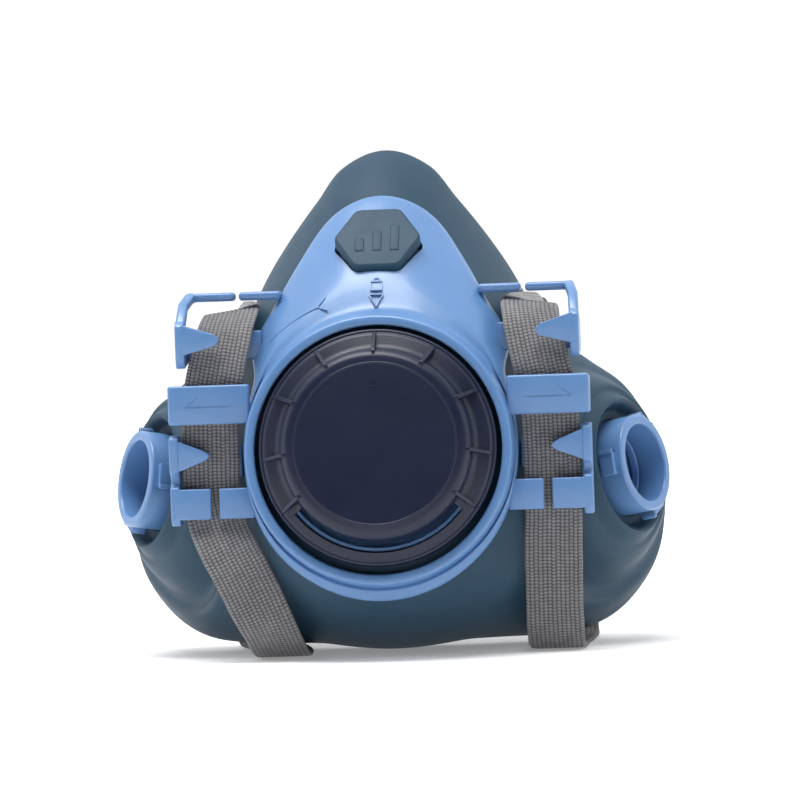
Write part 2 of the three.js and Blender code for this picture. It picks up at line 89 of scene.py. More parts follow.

# %% [markdown]
# ## Camera, floor and light
# The mask is seen from the front, a little from its right and from just above, as a catalogue shows
# it. The floor is pale and the light is wide and soft, so the matt rubber shows its folds and the
# plastic shows only broad, calm highlights. One large lamp stands high in front and one fills each side.

# %% Camera
CAMERA = {"azimuth": 4.2, "elevation": 1.2, "roll": 2.0, "distance": 1500.0, "lens": 260.0}
look_at = VALVE[0] + [6.0, -1.0, 12.6]
azimuth, elevation = CAMERA["azimuth"] * RAD, CAMERA["elevation"] * RAD
level = math.cos(elevation)
outward = np.array([math.sin(azimuth) * level, -math.cos(azimuth) * level, math.sin(elevation)])
camera = bpy.data.objects.new("camera", bpy.data.cameras.new("camera"))
bpy.context.scene.collection.objects.link(camera)
camera.data.lens = CAMERA["lens"]
camera.data.clip_start = 0.01
turn = Vector(-outward).to_track_quat("-Z", "Y").to_matrix().to_4x4()
camera.matrix_world = (
    Matrix.Translation(Vector((look_at + outward * CAMERA["distance"]) * MM))
    @ turn
    @ Matrix.Rotation(-CAMERA["roll"] * RAD, 4, "Z")
)
bpy.context.scene.camera = camera
print("camera looks at", look_at.round(1))

# %% [markdown]
# The floor glows a little more with distance, so it fades to white behind the mask. The sky is
# white behind and dim in front, which leaves the front to the lamps.

# %% Floor, sky and lamps
def node_material(name):
    material = bpy.data.materials.new(name)
    material.use_nodes = True
    tree = material.node_tree
    return material, tree, tree.nodes["Principled BSDF"]


def add_floor():
    mesh = bpy.data.meshes.new("floor")
    reach = 3.0
    corners = [(-reach, -reach, 0), (reach, -reach, 0), (reach, reach, 0), (-reach, reach, 0)]
    mesh.from_pydata(corners, [], [(0, 1, 2, 3)])
    floor = bpy.data.objects.new("floor", mesh)
    bpy.context.scene.collection.objects.link(floor)
    material, tree, shader = node_material("pale_floor")
    shader.inputs["Base Color"].default_value = (0.86, 0.86, 0.87, 1)
    shader.inputs["Roughness"].default_value = 0.9
    shader.inputs["Emission Color"].default_value = (1, 1, 1, 1)
    where = tree.nodes.new("ShaderNodeTexCoord")
    far = tree.nodes.new("ShaderNodeVectorMath")
    far.operation = "LENGTH"
    tree.links.new(where.outputs["Object"], far.inputs[0])
    glow = tree.nodes.new("ShaderNodeMapRange")
    glow.inputs["From Min"].default_value = 0.15
    glow.inputs["From Max"].default_value = 0.9
    glow.inputs["To Min"].default_value = 0.22
    glow.inputs["To Max"].default_value = 0.85
    tree.links.new(far.outputs["Value"], glow.inputs["Value"])
    tree.links.new(glow.outputs["Result"], shader.inputs["Emission Strength"])
    shader.inputs["Specular IOR Level"].default_value = 0.1
    mesh.materials.append(material)


def add_lamp(name, at, size, power, aim=(0, 0, 0.06)):
    lamp = bpy.data.objects.new(name, bpy.data.lights.new(name, "AREA"))
    bpy.context.scene.collection.objects.link(lamp)
    lamp.data.shape = "RECTANGLE"
    lamp.data.size, lamp.data.size_y = size
    lamp.data.energy = power
    lamp.location = at
    lamp.rotation_euler = (Vector(aim) - Vector(at)).to_track_quat("-Z", "Y").to_euler()


add_floor()
world = bpy.data.worlds.new("studio")
bpy.context.scene.world = world
world.use_nodes = True
sky = world.node_tree
direction = sky.nodes.new("ShaderNodeTexCoord")
parts_of = sky.nodes.new("ShaderNodeSeparateXYZ")
towards_back = sky.nodes.new("ShaderNodeMapRange")
towards_back.inputs["From Min"].default_value = -0.65
towards_back.inputs["From Max"].default_value = -0.05
towards_back.inputs["To Min"].default_value = 0.06
towards_back.inputs["To Max"].default_value = 1.05
sky.links.new(direction.outputs["Generated"], parts_of.inputs["Vector"])
sky.links.new(parts_of.outputs["Y"], towards_back.inputs["Value"])
sky.links.new(towards_back.outputs["Result"], sky.nodes["Background"].inputs["Strength"])
sky.nodes["Background"].inputs["Color"].default_value = (1, 1, 1, 1)
add_lamp("key", (-0.12, -0.22, 1.1), (0.9, 0.4), 15)
add_lamp("left_box", (-1.05, -0.35, 0.4), (0.3, 0.8), 1.3)
add_lamp("right_box", (1.05, -0.35, 0.35), (0.3, 0.8), 1.2)
bpy.context.scene.view_settings.view_transform = "Standard"
print("stage ready")

# %% [markdown]
# ## Finishes
# Every finish is a small tree of nodes on the Principled shader. Colour varies a little over the
# surface, as moulded parts do, and a fine bump gives the skin of the mould. Sizes in the noise nodes
# are in metres, because each piece keeps its origin on the table under the mask.

# %% Shader helpers
def noise_node(tree, scale, detail=3.0, roughness=0.5, coordinates="Object"):
    where = tree.nodes.new("ShaderNodeTexCoord")
    noise = tree.nodes.new("ShaderNodeTexNoise")
    noise.inputs["Scale"].default_value = scale
    noise.inputs["Detail"].default_value = detail
    noise.inputs["Roughness"].default_value = roughness
    tree.links.new(where.outputs[coordinates], noise.inputs["Vector"])
    return noise.outputs["Fac"]


def ramp_node(tree, source, stops):
    ramp = tree.nodes.new("ShaderNodeValToRGB")
    while len(ramp.color_ramp.elements) < len(stops):
        ramp.color_ramp.elements.new(0.5)
    for element, (position, colour) in zip(ramp.color_ramp.elements, stops):
        element.position = position
        element.color = (*colour, 1)
    tree.links.new(source, ramp.inputs["Fac"])
    return ramp.outputs["Color"]


def bump_node(tree, source, distance, strength=1.0, under=None):
    bump = tree.nodes.new("ShaderNodeBump")
    bump.inputs["Distance"].default_value = distance
    bump.inputs["Strength"].default_value = strength
    tree.links.new(source, bump.inputs["Height"])
    if under is not None:
        tree.links.new(under, bump.inputs["Normal"])
    return bump.outputs["Normal"]


def range_node(tree, source, low_value, high_value):
    spread = tree.nodes.new("ShaderNodeMapRange")
    spread.inputs["To Min"].default_value = low_value
    spread.inputs["To Max"].default_value = high_value
    tree.links.new(source, spread.inputs["Value"])
    return spread.outputs["Result"]


def moulded(name, colours, roughness, grain, grain_depth, cloud=60, **settings):
    """A moulded rubber or plastic: clouded colour, uneven gloss and a fine grained skin."""
    material, tree, shader = node_material(name)
    clouds = noise_node(tree, cloud, 4.0, 0.55)
    stops = [(0.3, colours[0]), (0.7, colours[1])]
    tree.links.new(ramp_node(tree, clouds, stops), shader.inputs["Base Color"])
    tree.links.new(range_node(tree, noise_node(tree, cloud * 3.7), *roughness), shader.inputs["Roughness"])
    fine = bump_node(tree, noise_node(tree, grain, 2.0), grain_depth * MM)
    tree.links.new(fine, shader.inputs["Normal"])
    for socket, value in settings.items():
        shader.inputs[socket.replace("_", " ")].default_value = value
    return material


print("shader helpers ready")

# %% [markdown]
# The facepiece is matt blue-grey rubber, the yoke a smooth light-blue plastic that lets a little
# light in, the cover a dark navy plastic with a spark-eroded grain, the flaps milky silicone and the
# harness fittings a satin charcoal plastic.

# %% Finishes of the moulded parts
FINISH = {
    "facepiece_rubber": moulded(
        "facepiece_rubber", [(0.015, 0.046, 0.079), (0.020, 0.054, 0.089)], (0.46, 0.58), 2600, 0.02,
        Specular_IOR_Level=0.24,
    ),
    "yoke_plastic": moulded(
        "yoke_plastic", [(0.092, 0.205, 0.42), (0.102, 0.219, 0.44)], (0.3, 0.38), 900, 0.006,
        Specular_IOR_Level=0.5, Subsurface_Weight=0.12, Subsurface_Scale=0.004, Coat_Weight=0.12,
        Coat_Roughness=0.12,
    ),
    "cap_plastic": moulded(
        "cap_plastic", [(0.003, 0.0065, 0.025), (0.0045, 0.0085, 0.031)], (0.34, 0.45), 3400, 0.03,
        Specular_IOR_Level=0.4,
    ),
    "flap_silicone": moulded(
        "flap_silicone", [(0.58, 0.60, 0.58), (0.64, 0.66, 0.64)], (0.35, 0.45), 1500, 0.01,
        Subsurface_Weight=0.3, Subsurface_Scale=0.003,
    ),
    "fitting_plastic": moulded(
        "fitting_plastic", [(0.028, 0.031, 0.037), (0.036, 0.039, 0.046)], (0.38, 0.5), 2800, 0.02,
    ),
}
print("finishes:", ", ".join(FINISH))

# %% [markdown]
# ## Tools for making meshes
# Three tools cover most of a moulded product. A skin is a grid of points that closes on itself, good
# for a shell whose wall follows a formula. A turned piece spins an outline round an axis. A slab
# pushes an outline straight out and rounds its edges with a bevel. All are drawn in millimetres.

# %% Mesh tools
PIECES = []


def loose_mesh(name, points, faces):
    """A plain mesh object in the scene, from points in millimetres."""
    mesh = bpy.data.meshes.new(name)
    mesh.from_pydata((np.asarray(points) * MM).tolist(), [], faces)
    loose = bpy.data.objects.new(name, mesh)
    bpy.context.scene.collection.objects.link(loose)
    return loose


def new_piece(name, points, faces, finish, body, replaces=(), smooth=35):
    """A mesh object that rides on a body of the frame and has a finish."""
    piece = loose_mesh(name, points, faces)
    piece.data.validate()
    finish_piece(piece, finish, body, replaces, smooth)
    return piece


def finish_piece(piece, finish, body, replaces=(), smooth=35):
    piece.data.materials.clear()
    piece.data.materials.append(FINISH[finish])
    piece.data.polygons.foreach_set("use_smooth", [True] * len(piece.data.polygons))
    piece.data.set_sharp_from_angle(angle=smooth * RAD)
    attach(piece, body)
    if replaces:
        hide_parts(*replaces)
    PIECES.append(piece.name)


def grid_faces(rows, columns, wrap_rows, wrap_columns):
    faces = []
    for i in range(rows if wrap_rows else rows - 1):
        for j in range(columns if wrap_columns else columns - 1):
            k, m = (i + 1) % rows, (j + 1) % columns
            faces.append((i * columns + j, k * columns + j, k * columns + m, i * columns + m))
    return faces


def rounded(points, radius, steps=4, closed=True):
    """An outline with each corner cut back by the radius and replaced by a small curve."""
    out = []
    n = len(points)
    for i, p in enumerate(points):
        here = np.array(p[:2], float)
        bend = p[2] if len(p) > 2 else radius
        if not closed and i in (0, n - 1) or bend == 0:
            out.append(here)
            continue
        before = np.array(points[i - 1][:2], float) - here
        after = np.array(points[(i + 1) % n][:2], float) - here
        cut = min(bend, 0.48 * np.linalg.norm(before), 0.48 * np.linalg.norm(after))
        start = here + before / np.linalg.norm(before) * cut
        end = here + after / np.linalg.norm(after) * cut
        for k in range(steps + 1):
            t = k / steps
            out.append((1 - t) ** 2 * start + 2 * t * (1 - t) * here + t * t * end)
    return np.array(out)


def turned_points(outline, place, segments=128):
    """Points and faces of an outline of [radius, height] spun round a place's axis."""
    outline = np.asarray(outline, float)
    angles = np.arange(segments) * 2 * math.pi / segments
    radius, height = outline[:, 0], outline[:, 1]
    ring = np.stack(
        [np.outer(np.cos(angles), radius), np.outer(np.sin(angles), radius),
         np.broadcast_to(height, (segments, len(height)))], axis=-1,
    )
    points = put(ring.reshape(-1, 3), place)
    return points, grid_faces(segments, len(outline), True, True)


def clean(piece, distance=0.002):
    """Merges doubled points, such as those of a turned piece on its axis, and turns faces out."""
    work = bmesh.new()
    work.from_mesh(piece.data)
    bmesh.ops.remove_doubles(work, verts=work.verts, dist=distance * MM)
    bmesh.ops.dissolve_degenerate(work, edges=work.edges, dist=1e-7)
    bmesh.ops.recalc_face_normals(work, faces=work.faces)
    work.to_mesh(piece.data)
    work.free()


def turned(name, outline, place, finish, body="mask", replaces=(), radius=0.3, segments=128, smooth=35):
    shape = rounded(outline, radius)
    points, faces = turned_points(shape, place, segments)
    piece = new_piece(name, points, faces, finish, body, replaces, smooth)
    clean(piece)
    piece.data.set_sharp_from_angle(angle=smooth * RAD)
    return piece


def soften_edges(piece, width, angle, segments=3):
    """Bevels the edges that are sharper than an angle in degrees."""
    bevel = piece.modifiers.new("soft_edges", "BEVEL")
    bevel.width, bevel.segments = width * MM, segments
    bevel.limit_method, bevel.angle_limit = "ANGLE", angle * RAD
    apply_modifiers(piece)


def slab_mesh(outline, low_height, high_height, place, bevel=0.3, segments=3):
    """A temporary object: an outline in a place's plane, pushed from one height to another."""
    outline = np.asarray(outline, float)
    n = len(outline)
    bottom = np.column_stack([outline, np.full(n, low_height)])
    top = np.column_stack([outline, np.full(n, high_height)])
    faces = [tuple(reversed(range(n))), tuple(range(n, 2 * n))]
    faces += [(i, (i + 1) % n, n + (i + 1) % n, n + i) for i in range(n)]
    slab = loose_mesh("slab", put(np.vstack([bottom, top]), place), faces)
    clean(slab)
    if bevel:
        soften_edges(slab, bevel, 40, segments)
    return slab


def apply_modifiers(piece):
    bpy.context.view_layer.update()
    shown = piece.evaluated_get(bpy.context.evaluated_depsgraph_get())
    mesh = bpy.data.meshes.new_from_object(shown)
    piece.modifiers.clear()
    old, piece.data = piece.data, mesh
    bpy.data.meshes.remove(old)


def merge(name, objects, finish, body, replaces=(), smooth=35):
    """One object from several temporary ones."""
    work = bmesh.new()
    for part in objects:
        work.from_mesh(part.data)
    mesh = bpy.data.meshes.new(name)
    work.to_mesh(mesh)
    work.free()
    for part in objects:
        bpy.data.meshes.remove(part.data)
    piece = bpy.data.objects.new(name, mesh)
    bpy.context.scene.collection.objects.link(piece)
    finish_piece(piece, finish, body, replaces, smooth)
    return piece


def cut(piece, cutter):
    """Cuts one object out of another and throws the cutter away."""
    modifier = piece.modifiers.new("cut", "BOOLEAN")
    modifier.object = cutter
    modifier.operation = "DIFFERENCE"
    modifier.solver = "EXACT"
    apply_modifiers(piece)
    bpy.data.meshes.remove(cutter.data)


def rod_mesh(radius, low_height, high_height, place, segments=96, bevel=0.0):
    circle = [(radius * math.cos(t), radius * math.sin(t))
              for t in np.arange(segments) * 2 * math.pi / segments]
    return slab_mesh(circle, low_height, high_height, place, bevel)


print("mesh tools ready")

# %% [markdown]
# ## Facepiece
# The facepiece is one moulding of soft rubber. It starts at the round port of the exhalation valve,
# swells out over the cheeks, rolls over at the rim and turns inwards as a thin lip that seals on the
# face. A sculpt would give the shape but not its even wall, so the shell is drawn as a formula in
# polar form round the valve: for each angle a radius, the depth of the widest line, and how boxy the
# flank is. The loop of one angle runs over the outside, round the rim, and back along the inside.

# %% The formula of the shell
PORT_R = 28.0
WALL = 2.8
TILT = math.tan(8 * RAD)
# angle above the horizontal, radius, depth of the widest line behind the valve face, boxiness
OUTLINE = np.array([
    [-90, 54.6, 48, 2.5], [-72, 55.8, 49, 2.3], [-63, 59.2, 51, 2.05], [-54, 65.0, 53, 1.8],
    [-45, 72.2, 56, 1.6], [-38, 75.6, 58, 1.4], [-30, 76.9, 60, 1.27], [-19, 75.8, 62, 1.16],
    [0, 69.6, 62, 1.1], [12, 63.6, 61, 1.13], [21, 56.8, 60, 1.22], [33, 51.2, 59, 1.42],
    [44, 52.4, 58.5, 1.5], [55, 56.6, 58, 1.42], [65, 61.8, 58, 1.34], [74, 68.2, 58, 1.28],
    [81, 75.2, 58, 1.22], [90, 78.8, 58, 1.2],
])
YOKE_EDGE = np.array([
    [-90, 39.4], [-45, 38], [0, 36], [30, 38], [38, 43], [54, 47.4], [66, 53.7], [79, 63.2], [90, 66.4],
])


def read_table(rows, phi, column):
    """A smooth value at each angle, the same on both sides of the mask and level at its ends."""
    phi = np.asarray(phi, float)
    phi = np.where(phi > 90, 180 - phi, phi)
    x, y = rows[:, 0], rows[:, column]
    slope = np.zeros(len(x))
    slope[1:-1] = (y[2:] - y[:-2]) / (x[2:] - x[:-2])
    i = np.clip(np.searchsorted(x, phi, "right") - 1, 0, len(x) - 2)
    span = x[i + 1] - x[i]
    t = (phi - x[i]) / span
    start, end = slope[i] * span, slope[i + 1] * span
    return (y[i] * (2 * t**3 - 3 * t**2 + 1) + start * (t**3 - 2 * t**2 + t)
            + y[i + 1] * (3 * t**2 - 2 * t**3) + end * (t**3 - t**2))


def rubber_depth(phi, r, sink=0.0):
    """Depth of the rubber behind the valve face at an angle and a radius."""
    edge = read_table(OUTLINE, phi, 1) - sink
    widest = read_table(OUTLINE, phi, 2)
    boxy = read_table(OUTLINE, phi, 3)
    front = TILT * PORT_R * np.sin(np.asarray(phi) * RAD) + sink
    s = np.clip((r - PORT_R) / (edge - PORT_R), 0, 1)
    crown = (1 - s**boxy) ** (1 / boxy)
    return widest - (widest - front) * crown


def polar(phi, r, depth):
    """Points from angle, radius and depth behind the valve face."""
    phi = np.asarray(phi) * RAD
    return np.stack([r * np.cos(phi), depth + 0 * r, r * np.sin(phi)], axis=-1) + VALVE[0]


print("widest half width", read_table(OUTLINE, [-28], 1))

# %% [markdown]
# The filter necks do not just pass through the rubber. Each one sits in a raised collar with a
# sunken groove round it, and soft folds run from the collar down into the cheek. These are pushed
# out of the smooth shell as heights that depend on the distance from the axis of the neck.

# %% Collars round the necks
def smoothstep(low_edge, high_edge, value):
    t = np.clip((value - low_edge) / (high_edge - low_edge), 0, 1)
    return t * t * (3 - 2 * t)


COLLAR = {"top": -5.9, "moat": -8.4, "inner": 16.2, "bead": 17.7, "edge": 18.8, "groove": 20.6, "foot": 30.0}


def raise_collars(points):
    out = points.copy()
    for side in ("left", "right"):
        origin, axes = NECK[side]
        local = (points - origin) @ axes.T
        rho = np.hypot(local[:, 0], local[:, 1])
        height = local[:, 2]
        near = (height > -40) & (rho < 46)
        weight = 1 - smoothstep(COLLAR["edge"], COLLAR["foot"], rho)
        detail = 1.2 * np.exp(-(((rho - COLLAR["bead"]) / 0.95) ** 2))
        sunken = 1 - smoothstep(COLLAR["inner"] - 1.0, COLLAR["inner"] + 0.6, rho)
        detail += (COLLAR["moat"] - COLLAR["top"]) * sunken
        detail -= 1.3 * np.exp(-(((rho - COLLAR["groove"]) / 1.2) ** 2))
        moved = height + (COLLAR["top"] - height) * weight + detail
        # soft folds that leave the collar and fade into the cheek
        angle = np.arctan2(local[:, 1], -SIGN[side] * local[:, 0])
        below = np.exp(-(((angle + 1.2) / 1.0) ** 2))
        fade = smoothstep(19, 24, rho) * (1 - smoothstep(32, 44, rho))
        moved += 1.1 * below * fade * np.cos((rho - 26) * 2 * math.pi / 9)
        out += np.where(near, moved - height, 0)[:, None] * axes[2]
    return out


print("collars at", COLLAR)

# %% [markdown]
# The facepiece is moulded in one piece with its face seal. The skin is drawn as one closed grid,
# out over the front, round the rim and back inside, so the wall has its thickness everywhere.

# %% The facepiece shell
def facepiece_rings(around, outside, inside):
    phi = -90 + 360 * np.arange(around) / around
    edge = read_table(OUTLINE, phi, 1)
    widest = read_table(OUTLINE, phi, 2)
    rows = []

    def station(rim, t):
        return PORT_R + (rim - PORT_R) * np.sin(t * math.pi / 2) ** 1.15

    for t in np.linspace(0, 1, outside):
        r = station(edge, t)
        rows.append(polar(phi, r, rubber_depth(phi, r)))
    rows = [raise_collars(row) for row in rows]
    rim = [(0, 0, 0), (0.5, 5), (4, 8.6), (10, 9.2), (16.5, 7, 0.9), (16.5, 5.2, 0.9), (10, 7.2)]
    rim += [(5, 6), (3.2, 3), (2.8, 0, 0)]
    for inset, back in rounded(rim, 2.6, steps=6, closed=False)[1:-1]:
        rows.append(polar(phi, edge - inset, widest + back))
    for t in np.linspace(1, 0, inside):
        r = station(edge - WALL, t)
        rows.append(polar(phi, r, rubber_depth(phi, r, WALL)))
    return np.stack(rows, axis=1)


rings = facepiece_rings(640, 160, 40)
faces = grid_faces(rings.shape[0], rings.shape[1], True, True)
facepiece = new_piece(
    "facepiece_shell", rings.reshape(-1, 3), faces, "facepiece_rubber", "mask", ["facepiece"], 60)
clean(facepiece)
for side in ("left", "right"):
    cut(facepiece, rod_mesh(13.2, -24, 4, NECK[side]))
facepiece.data.set_sharp_from_angle(angle=60 * RAD)
print("facepiece:", len(facepiece.data.polygons), "faces")

# %% [markdown]
# ## Yoke
# The yoke is the stiff front frame. It hugs the rubber from the valve up to the nose, and carries the
# guides for the straps. The shell uses the same formula as the rubber, lifted off it, with pairs of
# close points at each edge. A subdivision surface then turns each pair into a small even round, as a
# mould has.

# %% Yoke shell
YOKE = {"inner": 32.2, "lip": 4.6, "gap": 0.9, "thick": 2.2}


def shell_lift(phi, r, lift):
    """Depth of a surface that stands clear of the rubber by the given lift."""
    step = 0.6
    slope = (rubber_depth(phi, r + step) - rubber_depth(phi, r - step)) / (2 * step)
    facing = 1 / np.sqrt(1 + slope**2)
    return rubber_depth(phi, r) - lift / np.maximum(0.35, facing)


def yoke_shell():
    phi = -90 + 2.5 * np.arange(144)
    edge = read_table(YOKE_EDGE, phi, 1)
    inner = YOKE["inner"]
    lip_top = TILT * np.sin(phi * RAD)
    rows = []

    def lip(r, height):
        rows.append(polar(phi, np.full_like(phi, r), lip_top * r - height))

    def shell(r, lift):
        rows.append(polar(phi, r, shell_lift(phi, r, lift)))

    top, bottom = YOKE["gap"] + YOKE["thick"], YOKE["gap"]
    lip(inner, 0.6)
    lip(inner, 3.9)
    lip(inner + 0.25, 4.4)
    lip(inner + 1.0, YOKE["lip"])
    lip(inner + 2.3, YOKE["lip"] - 0.1)
    lip(inner + 2.9, YOKE["lip"] - 0.7)
    foot = inner + 3.3
    for t in np.linspace(0, 1, 12):
        shell(foot + (edge - 0.45 - foot) * t, top - 0.9 * (1 - smoothstep(0.0, 0.35, t)))
    shell(edge, top - 0.45)
    shell(edge, bottom + 0.3)
    for t in np.linspace(1, 0, 6):
        shell(foot - 1 + (edge - 0.4 - foot + 1) * t, bottom)
    grid = np.stack(rows, axis=1)
    return grid.reshape(-1, 3), grid_faces(len(phi), len(rows), True, True)


points, faces = yoke_shell()
yoke = new_piece("yoke_shell", points, faces, "yoke_plastic", "mask", ["yoke"], 50)
smoother = yoke.modifiers.new("rounding", "SUBSURF")
smoother.levels = smoother.render_levels = 2
apply_modifiers(yoke)
print("yoke before the window:", len(yoke.data.polygons), "faces")

# %% [markdown]
# The yoke has a hexagonal window near the nose. It is cut after the edges are rounded, so it
# stays crisp like a punched opening.

# %% Window for the badge
BADGE = place_from(VALVE[0] + [0, 21.8, 53.0], [0, -math.cos(42 * RAD), math.sin(42 * RAD)])


def hexagon(across, radius):
    reach, sixth = across / 2, math.pi / 3
    corners = [(reach * math.cos(k * sixth), reach * math.sin(k * sixth)) for k in range(6)]
    return rounded(corners, radius, steps=6)


cut(yoke, slab_mesh(hexagon(24.2, 1.8), -7, 9, BADGE, bevel=0))
yoke.data.set_sharp_from_angle(angle=50 * RAD)
print("yoke shell:", len(yoke.data.polygons), "faces")

# %% [markdown]
# Small raised marks stand on the yoke above the cover: a curved arrow for turning it, a closed
# padlock and a small triangle. They are plain signs without words, laid on the shell as fine ribs
# that follow its surface.

# %% Raised marks
def shell_point(x, z, lift):
    phi = np.degrees(np.arctan2(z, x))
    r = np.hypot(x, z)
    top = YOKE["gap"] + YOKE["thick"]
    return polar(phi, r, shell_lift(phi, r, top) - lift)


def rib_along(path, width=0.34, lift=0.15):
    """A fine raised line on the shell along points across and up from the valve axis."""
    path = np.asarray(path, float)
    length = np.concatenate([[0], np.cumsum(np.linalg.norm(np.diff(path, axis=0), axis=1))])
    at = np.linspace(0, length[-1], max(6, int(length[-1] / 0.35)))
    line = np.stack([np.interp(at, length, path[:, k]) for k in (0, 1)], axis=1)
    along = np.gradient(line, axis=0)
    along /= np.linalg.norm(along, axis=1)[:, None]
    side_way = np.stack([-along[:, 1], along[:, 0]], axis=1) * width / 2
    section = ((-1.0, -0.4), (-0.9, 0.0), (-0.55, lift), (0.55, lift), (0.9, 0.0), (1.0, -0.4))
    rows = [shell_point(*(line + u * side_way).T, v) for u, v in section]
    grid = np.stack(rows, axis=1)
    n, m = grid.shape[:2]
    faces = grid_faces(n, m, False, True) + [tuple(reversed(range(m))), tuple(range((n - 1) * m, n * m))]
    mesh = bpy.data.meshes.new("rib")
    mesh.from_pydata((grid.reshape(-1, 3) * MM).tolist(), [], faces)
    rib = bpy.data.objects.new("rib", mesh)
    bpy.context.scene.collection.objects.link(rib)
    clean(rib, 0.0005)
    return rib


def arc_path(centre, radius, start, end, steps=24):
    angles = np.radians(np.linspace(start, end, steps))
    return np.stack([centre[0] + radius * np.cos(angles), centre[1] + radius * np.sin(angles)], axis=1)


mark_paths = [
    arc_path((0, 0), 40.5, 112, 136),
    [(-13.6, 39.8), (-15.6, 37.4), (-12.9, 36.6)],
    [(-1.5, 41.4), (1.5, 41.4), (1.5, 43.6), (-1.5, 43.6), (-1.5, 41.4)],
    arc_path((0, 43.6), 0.9, 0, 180, 12),
    [(-1.9, 40.3), (1.9, 40.3), (0, 37.3), (-1.9, 40.3)],
]
merge("yoke_marks", [rib_along(path) for path in mark_paths], "yoke_plastic", "mask", ["yoke"], 50)
print("marks:", len(mark_paths))

# %% [markdown]
# ## Strap guides
# Each side of the yoke holds one strap: a wide bar in front, split bars above and below so the strap
# can be slipped in, and two rounded teeth that keep it there. They are bars with bevelled edges,
# drawn once and mirrored.

# %% Guides
FRONT = (VALVE[0], np.array([[1.0, 0, 0], [0, 0, 1.0], [0, -1.0, 0]]))  # right, up, forward


def box_mesh(side, x, forward, height, bevel=0.45, segments=3):
    """A bar from sizes across, towards the wearer's front and up, on one side of the mask."""
    x0, x1 = sorted((SIGN[side] * x[0], SIGN[side] * x[1]))
    outline = [(x0, height[0]), (x1, height[0]), (x1, height[1]), (x0, height[1])]
    return slab_mesh(outline, forward[0], forward[1], FRONT, bevel, segments)


def tooth_mesh(side, outline, forward, bevel=0.5):
    flipped = [(SIGN[side] * p[0], *p[1:]) for p in outline]
    return slab_mesh(rounded(flipped, 0.5, steps=5), forward[0], forward[1], FRONT, bevel)


def wall_mesh(side, x, outline, bevel=0.4):
    """An upright wall at the outer side of a guide, drawn from the side as [forward, height]."""
    place = (VALVE[0], np.array([[0, -1.0, 0], [0, 0, 1.0], [-1.0, 0, 0]]))
    low_x, high_x = sorted((-SIGN[side] * x[0], -SIGN[side] * x[1]))
    return slab_mesh(rounded(outline, 0.7, steps=3), low_x, high_x, place, bevel)


def swept_mesh(route, width, height, bevel=0.5):
    """A bar of rectangular section that follows a few points, with rounded edges."""
    route = np.asarray(route, float)
    rows = []
    for i, p in enumerate(route):
        along = route[min(i + 1, len(route) - 1)] - route[max(i - 1, 0)]
        along = along / np.linalg.norm(along)
        across = np.cross(along, [0, -0.8, 0.6])
        across /= np.linalg.norm(across)
        out = np.cross(across, along)
        corners = ((-1, -1), (1, -1), (1, 1), (-1, 1))
        rows.append([p + width / 2 * u * across + height / 2 * v * out for u, v in corners])
    end = 4 * (len(route) - 1)
    faces = grid_faces(len(route), 4, False, True) + [(3, 2, 1, 0), (end, end + 1, end + 2, end + 3)]
    swept = loose_mesh("swept", np.array(rows).reshape(-1, 3), faces)
    clean(swept)
    soften_edges(swept, bevel, 50)
    return swept


def arrow_cutters(side):
    """Thin slabs that engrave an arrow pointing outwards on the front bar."""
    sign = SIGN[side]
    strokes = [((38.5, 12.4), (50.5, 12.4)), ((50.5, 12.4), (46.6, 15.2))]
    cutters = []
    for start, end in strokes:
        start, end = np.array(start) * [sign, 1], np.array(end) * [sign, 1]
        across = np.array([start[1] - end[1], end[0] - start[0]])
        across = across / np.linalg.norm(across) * 0.17
        outline = [start - across, end - across, end + across, start + across]
        cutters.append(slab_mesh(outline, -1.64, -0.5, FRONT, bevel=0))
    return cutters


def guides(side):
    sign = SIGN[side]
    front_bar = box_mesh(side, (33.6, 55), (-4.2, -1.5), (7.8, 18), 0.7, 4)
    for cutter in arrow_cutters(side):
        cut(front_bar, cutter)
    bend = [(51.6, 5.4, 31), (51.5, 7.4, 34), (51.2, 12, 38.4), (50.2, 18.5, 40.6), (49.7, 22.5, 40.9)]
    lower_tooth = [(52.9, -4.4), (52.9, 3.6), (45.8, 0.7, 2.4), (44.5, -0.4, 1.4), (45.6, -1.6, 2.4)]
    upper_wall = [(-15.4, 23.8), (-5, 22.4), (-3.8, 24), (-3.5, 33.4), (-5.4, 35), (-15.4, 32)]
    upper_tooth = [(51.2, 25.8), (51.2, 34), (42.4, 31.1, 2.4), (41.2, 29.8, 1.4), (42.1, 28.3, 2.4)]
    return [
        front_bar,
        box_mesh(side, (52.6, 55), (-10.6, -2.1), (7.8, 17.4)),
        box_mesh(side, (40, 54), (-10.6, -8.6), (7.8, 15)),
        wall_mesh(side, (52.8, 55.2), [
            (-9.9, -18.6), (-3.6, -18.6), (-2.4, -16.8), (-2.2, -8.6), (-4.6, -7.8), (-4.6, -5.4),
            (-2.3, -4.6), (-2.3, 3.6), (-3.4, 5), (-9.9, 5),
        ]),
        box_mesh(side, (36.6, 54), (-9.9, -7.7), (-6.2, 2), 0.4),
        box_mesh(side, (44.6, 54), (-4.6, -2.2), (-17, -9), 0.5),
        box_mesh(side, (33.2, 42.4), (-4.4, -2.2), (-17, -9), 0.5),
        tooth_mesh(side, lower_tooth, (-4.8, -2.4)),
        wall_mesh(side, (50.4, 52.8), upper_wall),
        box_mesh(side, (31, 51), (-15.4, -13), (24.4, 31.8), 0.4),
        tooth_mesh(side, upper_tooth, (-6, -3.6)),
        swept_mesh([VALVE[0] + [sign * x, y, z] for x, y, z in bend], 2.6, 2.6, 0.7),
        box_mesh(side, (38.4, 51), (-25.6, -19), (39.7, 42), 0.95, 4),
        box_mesh(side, (26, 37.2), (-25.6, -19), (39.7, 42), 0.95, 4),
    ]


for side in ("left", "right"):
    merge("strap_guides_" + side, guides(side), "yoke_plastic", "mask", ["yoke"], 40)
print("strap guides done")

